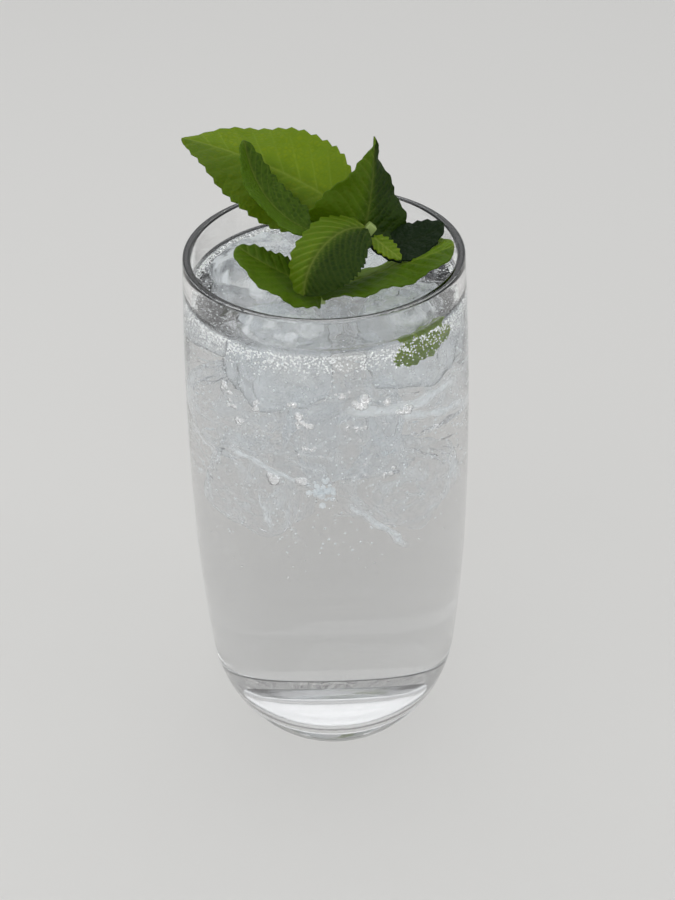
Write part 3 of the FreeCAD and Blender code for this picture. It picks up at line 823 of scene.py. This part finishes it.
def quilting(values, along, across, half, off_vein, off_midrib):
    """How far the blade swells at each place between its veins."""
    between = 1 - np.exp(-(off_vein / VEIN_VALLEY) ** 2)
    cell = np.array([noise.noise(Vector((u * values["long"] / QUILT_CELL, w / QUILT_CELL,
                                         values["heading"])))
                     for u, w in zip(along, across * half)])
    swell = (between * (1 - np.exp(-(off_midrib / MIDRIB_SHOULDER) ** 2))
             * (1 - np.abs(across) ** EDGE_POWER))
    relief = (SWELL * swell + QUILT * cell * swell
              - MIDRIB_DEEP * np.exp(-(off_midrib / MIDRIB_VALLEY) ** 2))
    flatter = min(1, values["long"] / FULL_RELIEF_LONG)
    return relief * (np.clip(along * RELIEF_START, 0, 1) * flatter * values["quilt"])


def paint_leaf(piece, values, across, off_vein, off_midrib):
    """Give the leaf's material its veins and, for each half, how young it is with painted light on
    a lit half, and its painted shade.
    """
    vein = np.maximum(np.exp(-(off_vein / VEIN_WIDE) ** 2) * np.exp(-off_midrib / VEIN_FADE),
                      np.exp(-(off_midrib / MIDRIB_WIDE) ** 2))
    marks = {"vein": vein * (VEIN_SHOWS[0] + VEIN_SHOWS[1] * values["quilt"])}
    right = np.clip(across * HALVES_PART, -1, 1) / 2 + 0.5
    # The first pair is youth with painted light on a lit half. The second is painted shade.
    for key in ("youth_and_painted_light", "shade"):
        marks[key] = values[key][0] * (1 - right) + values[key][1] * right
    for key, mark in marks.items():
        attribute = piece.data.attributes.new(key, "FLOAT", "POINT")
        attribute.data.foreach_set("value", mark.astype(float))


def grow_leaf(values, start):
    """A quilted, saw-edged blade on a short stalk that starts at a place on the stem."""
    rows = int(values["long"] * LEAF_FINENESS)
    columns = int((values["left"] + values["right"]) * LEAF_FINENESS / 2) * 2
    bpy.ops.object.select_all(action="DESELECT")
    bpy.ops.mesh.primitive_grid_add(x_subdivisions=rows, y_subdivisions=columns, size=2)
    piece = bpy.context.object
    flat = np.array([vertex.co for vertex in piece.data.vertices])
    along = (flat[:, 0] + 1) / 2
    across = flat[:, 1]
    reach = np.abs(across)

    steps = 200
    grid = np.linspace(0, 1, steps + 1)
    forward = leaf_frame(values, (grid[1:] + grid[:-1]) / 2)[0] * (values["long"] / steps)
    first = leaf_frame(values, grid[:1])[0][0]
    base = np.array(start) + first * values["stalk"]
    midrib = np.vstack([base, base + np.cumsum(forward, 0)])
    centre = np.stack([np.interp(along, grid, midrib[:, axis]) for axis in range(3)], -1)
    forward, side, upward = leaf_frame(values, along)

    half = saw_edge(values, along, across)
    off_vein, off_midrib = vein_distances(values, along, across, half)
    relief = quilting(values, along, across, half, off_vein, off_midrib)
    wave = values["wave"] * np.sin(along * WAVE_PACE + values["heading"]) * reach ** 2

    fold = np.radians(np.where(across > 0, values["fold_right"], values["fold_left"]))
    fold = fold * np.clip(along * FOLD_START, 0, 1)
    reach_side = (side * (np.cos(fold) * across)[:, None]
                  + upward * (np.sin(fold) * reach)[:, None]) * half[:, None]
    lobe = values["lobe"] * reach * np.exp(-along / LOBE_END)
    normal = upward * np.cos(fold)[:, None] - side * (np.sin(fold) * np.sign(across))[:, None]
    centre = centre - forward * lobe[:, None]
    spots = (centre + reach_side + normal * (relief + wave)[:, None]) * MM
    piece.data.vertices.foreach_set("co", spots.ravel())
    paint_leaf(piece, values, across, off_vein, off_midrib)
    weld(piece)
    apply_modifier(piece, "SOLIDIFY", thickness=LEAF_THICK * MM, offset=0)
    return piece


# A torn piece of mint that sank between the ice and the wall, and where it starts.
SUNKEN_MINT = {
    "long": 16.0, "stalk": 0.5, "left": 4.4, "right": 3.6, "base": 0.4, "tip": 0.5,
    "teeth": 7, "veins": 5, "youth_and_painted_light": (0.5, 0.7), "wave": 0.5,
    "quilt": 0.6, "slant": 0.9, "shade": (0.0, 0.1), "lobe": 0.4,
    "heading": 30.0, "rise": 4.0, "curl": -4.0, "sweep": 26.0,
    "roll": 74.0, "twist": 10.0, "fold_left": 4.0, "fold_right": 4.0,
}
SUNKEN_MINT_START = (14.0, -25.0, 129.2)


def leaf_start(values):
    """Where a leaf's stalk leaves the face of the stem."""
    crown, lean = stem_places()
    start = (crown if values["node"] else LOWER_NODE) + lean * values["lift"]
    half_diagonal = STEM_SIDE * math.sqrt(0.5)
    return start + Vector(around(1, values["heading"], 0)) * (half_diagonal + LEAF_SEAT)


# --- materials -----------------------------------------------------------------------------

# Indices of refraction. A bubble is seen from inside the drink, so its index is that of air
# over that of water. Ice in water would come just under 1 in the same way, and is set just
# over it, so that its faces show.
GLASS_IOR = 1.5
WATER_IOR = 1.333
ICE_IOR = 1.31
SUNKEN_ICE_IOR = 1.035
BUBBLE_IOR = 0.76
WAX_IOR = 1.45

# Sizes of patterns, and how far under the level the frost of the ice fades.
FROST_CLOUD = 3.6
FROST_PIT = 1.1
FROST_FADE = 3
SUNKEN_CLOUD = 3.2
CRACK_GRAIN = 1.6
LEAF_MOTTLE = 5
LEAF_CELL = 1.15
STEM_FIBRE = 1.5


def pass_light(tree, shader):
    """Let lamp light and soft bounced light straight through, as thin clear things do."""
    path = add(tree, "ShaderNodeLightPath")
    either = add(tree, "ShaderNodeMath", {
        0: path.outputs["Is Shadow Ray"], 1: path.outputs["Is Diffuse Ray"]}, operation="MAXIMUM")
    clear = add(tree, "ShaderNodeBsdfTransparent")
    mixed = add(tree, "ShaderNodeMixShader", {0: either.outputs[0], 1: shader, 2: clear.outputs[0]})
    return mixed.outputs[0]


def lit_through(tree, share, shader, colour):
    """Mix in a share of the light that shines through from behind."""
    glow = add(tree, "ShaderNodeBsdfTranslucent", {"Color": colour})
    mixed = add(tree, "ShaderNodeMixShader", {0: share, 1: shader.outputs[0], 2: glow.outputs[0]})
    return mixed.outputs[0]


def drawn_clouds(tree, place, turned, drawn, size):
    """Clouds drawn out one way, as air freezes into ice."""
    stretch = add(tree, "ShaderNodeMapping", {
        "Vector": place.outputs["Object"], "Rotation": turned, "Scale": (1.0, 1.0, drawn)})
    clouds = add(tree, "ShaderNodeTexNoise", {
        "Vector": stretch.outputs[0], "Scale": 1 / (size * MM), "Detail": 6.0})
    return clouds.outputs[0]


def glass_material():
    """Soda-lime glass, pressed and fire-polished: clear, with a hard gloss."""
    material, tree = new_material("soda_lime_glass_fire_polished")
    body = add(tree, "ShaderNodeBsdfPrincipled", {
        "Base Color": linear("#fdfdfd"), "Roughness": 0.0, "IOR": GLASS_IOR,
        "Transmission Weight": 1.0})
    add(tree, "ShaderNodeOutputMaterial", {"Surface": pass_light(tree, body.outputs[0])})
    return material


def water_material():
    """Carbonated water: clear, with a grey absorption that stands partly for the milkiness of fine
    bubbles and partly for painted shade, dimming all seen through it.
    """
    material, tree = new_material("carbonated_water_clear")
    body = add(tree, "ShaderNodeBsdfPrincipled", {
        "Base Color": linear("#ffffff"), "Roughness": 0.0, "IOR": WATER_IOR,
        "Transmission Weight": 1.0})
    # The grey absorption is partly painted shade that darkens the floor and ice seen through the
    # drink, and partly the milkiness of fine bubbles.
    haze_and_painted_shade = add(tree, "ShaderNodeVolumeAbsorption", {"Color": linear("#484f56"), "Density": 4.2})
    add(tree, "ShaderNodeOutputMaterial", {
        "Surface": pass_light(tree, body.outputs[0]), "Volume": haze_and_painted_shade.outputs[0]})
    return material


def floating_ice_material():
    """Freezer ice, melting: glassy where wet, frosted white where air froze into it."""
    material, tree = new_material("freezer_ice_melting")
    place = add(tree, "ShaderNodeTexCoord")
    clouds = drawn_clouds(tree, place, (0.5, 0.7, 0.3), 0.3, FROST_CLOUD)
    frost = add(tree, "ShaderNodeMapRange", {
        "Value": clouds, "From Min": 0.43, "From Max": 0.6, "To Min": 0.05, "To Max": 0.9})
    split = add(tree, "ShaderNodeSeparateXYZ", {"Vector": place.outputs["Object"]})
    dry = add(tree, "ShaderNodeMapRange", {
        "Value": split.outputs["Z"], "From Min": (LEVEL - FROST_FADE) * MM,
        "From Max": LEVEL * MM, "To Min": 0.3})
    frosted = add(tree, "ShaderNodeMath", {0: frost.outputs[0], 1: dry.outputs[0]},
                  operation="MULTIPLY")
    pits = add(tree, "ShaderNodeTexNoise", {
        "Vector": place.outputs["Object"], "Scale": 1 / (FROST_PIT * MM), "Detail": 4.0})
    bump = add(tree, "ShaderNodeBump", {
        "Height": pits.outputs[0], "Strength": 0.5, "Distance": 0.35 * MM})
    clear = add(tree, "ShaderNodeBsdfPrincipled", {
        "Base Color": linear("#fafdff"), "Roughness": 0.04, "IOR": ICE_IOR,
        "Transmission Weight": 1.0, "Normal": bump.outputs[0]})
    white = add(tree, "ShaderNodeBsdfPrincipled", {
        "Base Color": linear("#f6fbff"), "Roughness": 0.3, "IOR": ICE_IOR,
        "Transmission Weight": 0.15, "Normal": bump.outputs[0]})
    cloudy = lit_through(tree, 0.4, white, linear("#f6fbff"))
    mixed = add(tree, "ShaderNodeMixShader", {
        0: frosted.outputs[0], 1: clear.outputs[0], 2: cloudy})
    add(tree, "ShaderNodeOutputMaterial", {"Surface": pass_light(tree, mixed.outputs[0])})
    return material


def sunken_ice_material():
    """Ice under water: almost unseen, but for clouds and streaks of frozen-in air."""
    material, tree = new_material("ice_under_water")
    place = add(tree, "ShaderNodeTexCoord")
    clouds = drawn_clouds(tree, place, (0.3, 0.9, 0.5), 0.22, SUNKEN_CLOUD)
    streaks = add(tree, "ShaderNodeMapRange", {
        "Value": clouds, "From Min": 0.46, "From Max": 0.72, "To Max": 0.5})
    body = add(tree, "ShaderNodeBsdfPrincipled", {
        "Base Color": linear("#fbfcfd"), "Roughness": 0.05, "IOR": SUNKEN_ICE_IOR,
        "Transmission Weight": 1.0})
    white = add(tree, "ShaderNodeBsdfDiffuse", {"Color": linear("#f1f7fb")})
    cloudy = lit_through(tree, 0.5, white, linear("#f1f7fb"))
    mixed = add(tree, "ShaderNodeMixShader", {0: streaks.outputs[0], 1: body.outputs[0], 2: cloudy})
    add(tree, "ShaderNodeOutputMaterial", {"Surface": pass_light(tree, mixed.outputs[0])})
    return material


def bubble_material():
    """Carbon dioxide in water: each bubble bends light outwards, dark edge, bright heart."""
    material, tree = new_material("carbon_dioxide_bubble")
    body = add(tree, "ShaderNodeBsdfPrincipled", {
        "Base Color": linear("#ffffff"), "Roughness": 0.0, "IOR": BUBBLE_IOR,
        "Transmission Weight": 0.76})
    add(tree, "ShaderNodeOutputMaterial", {"Surface": pass_light(tree, body.outputs[0])})
    return material


def fizz_material():
    """Foaming fine carbon dioxide: pinheads that scatter light and read nearly white."""
    material, tree = new_material("carbon_dioxide_fizz")
    body = add(tree, "ShaderNodeBsdfPrincipled", {
        "Base Color": linear("#f6f8f8"), "Roughness": 0.1, "IOR": BUBBLE_IOR,
        "Transmission Weight": 0.36})
    add(tree, "ShaderNodeOutputMaterial", {"Surface": pass_light(tree, body.outputs[0])})
    return material


def fracture_material():
    """Air frozen into cracks of the ice: white, softly fading at its edges."""
    material, tree = new_material("air_crack_in_ice")
    place = add(tree, "ShaderNodeTexCoord")
    fade = add(tree, "ShaderNodeAttribute", attribute_name="fade")
    grain = add(tree, "ShaderNodeTexNoise", {
        "Vector": place.outputs["Object"], "Scale": 1 / (CRACK_GRAIN * MM), "Detail": 4.0})
    strength = add(tree, "ShaderNodeMapRange", {
        "Value": grain.outputs[0], "From Min": 0.3, "From Max": 0.58, "To Min": 0.45})
    dense = add(tree, "ShaderNodeMath", {0: fade.outputs["Fac"], 1: strength.outputs[0]},
                operation="MULTIPLY")
    white = add(tree, "ShaderNodeBsdfPrincipled", {
        "Base Color": linear("#f6fafc"), "Roughness": 0.5})
    cloudy = lit_through(tree, 0.5, white, linear("#f6fafc"))
    clear = add(tree, "ShaderNodeBsdfTransparent")
    mixed = add(tree, "ShaderNodeMixShader", {0: dense.outputs[0], 1: clear.outputs[0], 2: cloudy})
    add(tree, "ShaderNodeOutputMaterial", {"Surface": mixed.outputs[0]})
    return material


def leaf_material():
    """Fresh mint leaf: waxy, quilted between pale veins, green light through thin blade, with
    painted light and painted shade on its halves.
    """
    material, tree = new_material("fresh_mint_leaf")
    place = add(tree, "ShaderNodeTexCoord")
    vein = add(tree, "ShaderNodeAttribute", attribute_name="vein")
    youth_and_painted_light = add(tree, "ShaderNodeAttribute", attribute_name="youth_and_painted_light")
    shaded = add(tree, "ShaderNodeAttribute", attribute_name="shade")
    mottle = add(tree, "ShaderNodeTexNoise", {
        "Vector": place.outputs["Object"], "Scale": 1 / (LEAF_MOTTLE * MM), "Detail": 4.0})
    net = add(tree, "ShaderNodeTexVoronoi", {
        "Vector": place.outputs["Object"], "Scale": 1 / (LEAF_CELL * MM)},
        feature="DISTANCE_TO_EDGE")
    cells = add(tree, "ShaderNodeMapRange", {"Value": net.outputs["Distance"], "From Max": 0.3})
    tone = linear("#2c5200")
    # Each layer goes over the tone so far at B, but the net shows between its cells, at A.
    # The first layer is youth with painted light, yellow-green on a lit half. The last is painted
    # shade, dark green where a half lies in shade.
    for factor, end, colour in ((youth_and_painted_light.outputs["Fac"], "B", "#a3b318"),
                                (mottle.outputs[0], "B", "#567c06"),
                                (cells.outputs[0], "A", "#688c14"),
                                (vein.outputs["Fac"], "B", "#a0b548"),
                                (shaded.outputs["Fac"], "B", "#0a2406")):
        ends = {"A": tone, "B": tone, end: linear(colour)}
        layer = add(tree, "ShaderNodeMix", {"Factor": factor, **ends}, data_type="RGBA")
        tone = layer.outputs["Result"]
    bump = add(tree, "ShaderNodeBump", {
        "Height": cells.outputs[0], "Strength": 0.6, "Distance": 0.15 * MM})
    face = add(tree, "ShaderNodeBsdfPrincipled", {
        "Base Color": tone, "Roughness": 0.5, "IOR": WAX_IOR,
        "Specular IOR Level": 0.25, "Normal": bump.outputs[0]})
    # The green light through the blade follows youth with its painted light, and painted shade
    # darkens it.
    bright = add(tree, "ShaderNodeMix", {
        "Factor": youth_and_painted_light.outputs["Fac"], "A": linear("#4c8400"), "B": linear("#ccd61e")},
        data_type="RGBA")
    painted_shade_glow = add(tree, "ShaderNodeMix", {
        "Factor": shaded.outputs["Fac"], "A": bright.outputs["Result"], "B": linear("#143606")},
        data_type="RGBA")
    mixed = lit_through(tree, 0.45, face, painted_shade_glow.outputs["Result"])
    add(tree, "ShaderNodeOutputMaterial", {"Surface": mixed})
    return material


def stem_material():
    """Fresh mint stem: pale green, smooth and finely mottled."""
    material, tree = new_material("fresh_mint_stem")
    place = add(tree, "ShaderNodeTexCoord")
    fibre = add(tree, "ShaderNodeTexNoise", {
        "Vector": place.outputs["Object"], "Scale": 1 / (STEM_FIBRE * MM), "Detail": 3.0})
    tone = add(tree, "ShaderNodeMix", {
        "Factor": fibre.outputs[0], "A": linear("#6f8a3a"), "B": linear("#a9ba72")},
        data_type="RGBA")
    body = add(tree, "ShaderNodeBsdfPrincipled", {
        "Base Color": tone.outputs["Result"], "Roughness": 0.45})
    add(tree, "ShaderNodeOutputMaterial", {"Surface": body.outputs[0]})
    return material


def floor_material():
    """A plain matt studio floor."""
    material, tree = new_material("matt_studio_floor")
    body = add(tree, "ShaderNodeBsdfPrincipled", {
        "Base Color": linear("#dcdbd8"), "Roughness": 0.7})
    add(tree, "ShaderNodeOutputMaterial", {"Surface": body.outputs[0]})
    return material


# --- the studio ----------------------------------------------------------------------------

# The camera: its place, how far it is pitched up from straight down and rolled, in degrees,
# its lens and sensor, and in metres the nearest thing that it sees.
CAMERA_PLACE = (2.16, -277.28, 291.66)
CAMERA_PITCH = 53.296
CAMERA_ROLL = -1.227
LENS = 54.08
SENSOR_WIDE = 36
NEAREST = 0.01

# Softboxes: name, place, where it aims, width and height, all in metres, and its watts.
LAMPS = [
    ("top_softbox", (0.1, 0.75, 1.2), (0, 0, 0.1), (2.4, 1.5), 6.7),
    ("front_softbox", (-0.4, -0.95, 0.95), (0, 0, 0.08), (1.7, 1.2), 6.2),
    ("left_softbox", (-1.0, -0.1, 0.6), (0, 0, 0.1), (0.4, 1.0), 2.0),
    ("right_softbox", (0.9, -0.35, 0.7), (0, 0, 0.1), (0.35, 0.8), 1.6),
]
FLOOR_WIDE = 6

# Light crosses the glass, the drink, the ice and many bubbles one after another.
LIGHT_BOUNCES = 110
CLEAR_BOUNCES = 40


def make_camera():
    """The camera that looks down at the glass from the front."""
    camera = bpy.data.cameras.new("camera")
    camera.lens = LENS
    camera.sensor_width = SENSOR_WIDE
    camera.clip_start = NEAREST
    holder = hold("camera", camera)
    holder.matrix_world = (Matrix.Translation(Vector(CAMERA_PLACE) * MM)
                           @ Matrix.Rotation(math.radians(CAMERA_PITCH), 4, "X")
                           @ Matrix.Rotation(math.radians(CAMERA_ROLL), 4, "Z"))
    bpy.context.scene.camera = holder


def make_lamp(name, place, aim, size, power):
    """A rectangular softbox lamp, placed and aimed in metres."""
    lamp = bpy.data.lights.new(name, "AREA")
    lamp.shape = "RECTANGLE"
    lamp.size, lamp.size_y = size
    lamp.energy = power
    holder = hold(name, lamp)
    holder.location = place
    holder.rotation_euler = (Vector(aim) - Vector(place)).to_track_quat("-Z", "Y").to_euler()


def make_world():
    """Dim light from all round, from a room that the camera, gloss and glass see as pale."""
    world = bpy.data.worlds.new("studio")
    bpy.context.scene.world = world
    world.use_nodes = True
    tree = world.node_tree
    tree.nodes.clear()
    place = add(tree, "ShaderNodeTexCoord")
    split = add(tree, "ShaderNodeSeparateXYZ", {"Vector": place.outputs["Generated"]})
    height = add(tree, "ShaderNodeMapRange", {
        "Value": split.outputs["Z"], "From Min": -0.05, "From Max": 0.75})
    rooms = []
    for low, high, strength in (("#a2a2a5", "#f2f3f5", 0.56), ("#b9babc", "#e6e8ea", 1.0)):
        sky = add(tree, "ShaderNodeMix", {
            "Factor": height.outputs[0], "A": linear(low), "B": linear(high)}, data_type="RGBA")
        rooms.append(add(tree, "ShaderNodeBackground", {
            "Color": sky.outputs["Result"], "Strength": strength}).outputs[0])
    path = add(tree, "ShaderNodeLightPath")
    seen = path.outputs["Is Camera Ray"]
    for kind in ("Is Glossy Ray", "Is Transmission Ray"):
        seen = add(tree, "ShaderNodeMath", {0: seen, 1: path.outputs[kind]},
                   operation="MAXIMUM").outputs[0]
    room = add(tree, "ShaderNodeMixShader", {0: seen, 1: rooms[0], 2: rooms[1]})
    add(tree, "ShaderNodeOutputWorld", {"Surface": room.outputs[0]})


def make_floor():
    """The pale floor that the glass stands on."""
    bpy.ops.object.select_all(action="DESELECT")
    bpy.ops.mesh.primitive_plane_add(size=FLOOR_WIDE, location=(0, 0, 0))
    floor = bpy.context.object
    floor.name = "studio_floor"
    floor.data.materials.append(floor_material())


# --- making it all -------------------------------------------------------------------------

make_camera()
make_world()
for lamp in LAMPS:
    make_lamp(*lamp)
make_floor()

settle(turn(tumbler_outline()), "glass_tumbler", glass_material(), ["tumbler"])

drink = turn(drink_outline())
ripple(drink)
ice = floating_ice_material()
for number, name in enumerate(FLOATING):
    piece = carve_floating(name, number + 1)
    cut_out(drink, piece)
    settle(piece, name + "_melted", ice, [name])
settle(drink, "water", water_material(), ["drink"])

sunken = [carve_sunken(number, *values) for number, values in enumerate(SUNKEN)]
settle(join(sunken), "sunken_ice", sunken_ice_material())
settle(many_balls(*fizz_places()), "fizz", fizz_material())
settle(many_balls(*bubble_places()), "bubbles", bubble_material())

air = fracture_material()
settle(many_balls(*speck_places()), "frozen_specks", air)
cracks = [fracture(number, *values) for number, values in enumerate(FRACTURES + faint_fractures())]
settle(join(cracks), "fractures", air)

green = leaf_material()
for name, values in LEAVES.items():
    settle(grow_leaf(values, leaf_start(values)), name + "_blade", green, [name])
settle(grow_leaf(SUNKEN_MINT, SUNKEN_MINT_START), "sunken_mint", green)

stem = hold("stem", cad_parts["mint_stem"].data.copy())
weld(stem)
apply_modifier(stem, "BEVEL", width=STEM_BEVEL * MM, segments=3, limit_method="ANGLE",
               angle_limit=0.8)
settle(stem, "mint_stem_square", stem_material(), ["mint_stem"])

scene = bpy.context.scene
scene.view_settings.view_transform = "Standard"
scene.cycles.max_bounces = LIGHT_BOUNCES
scene.cycles.transmission_bounces = LIGHT_BOUNCES
scene.cycles.transparent_max_bounces = CLEAR_BOUNCES
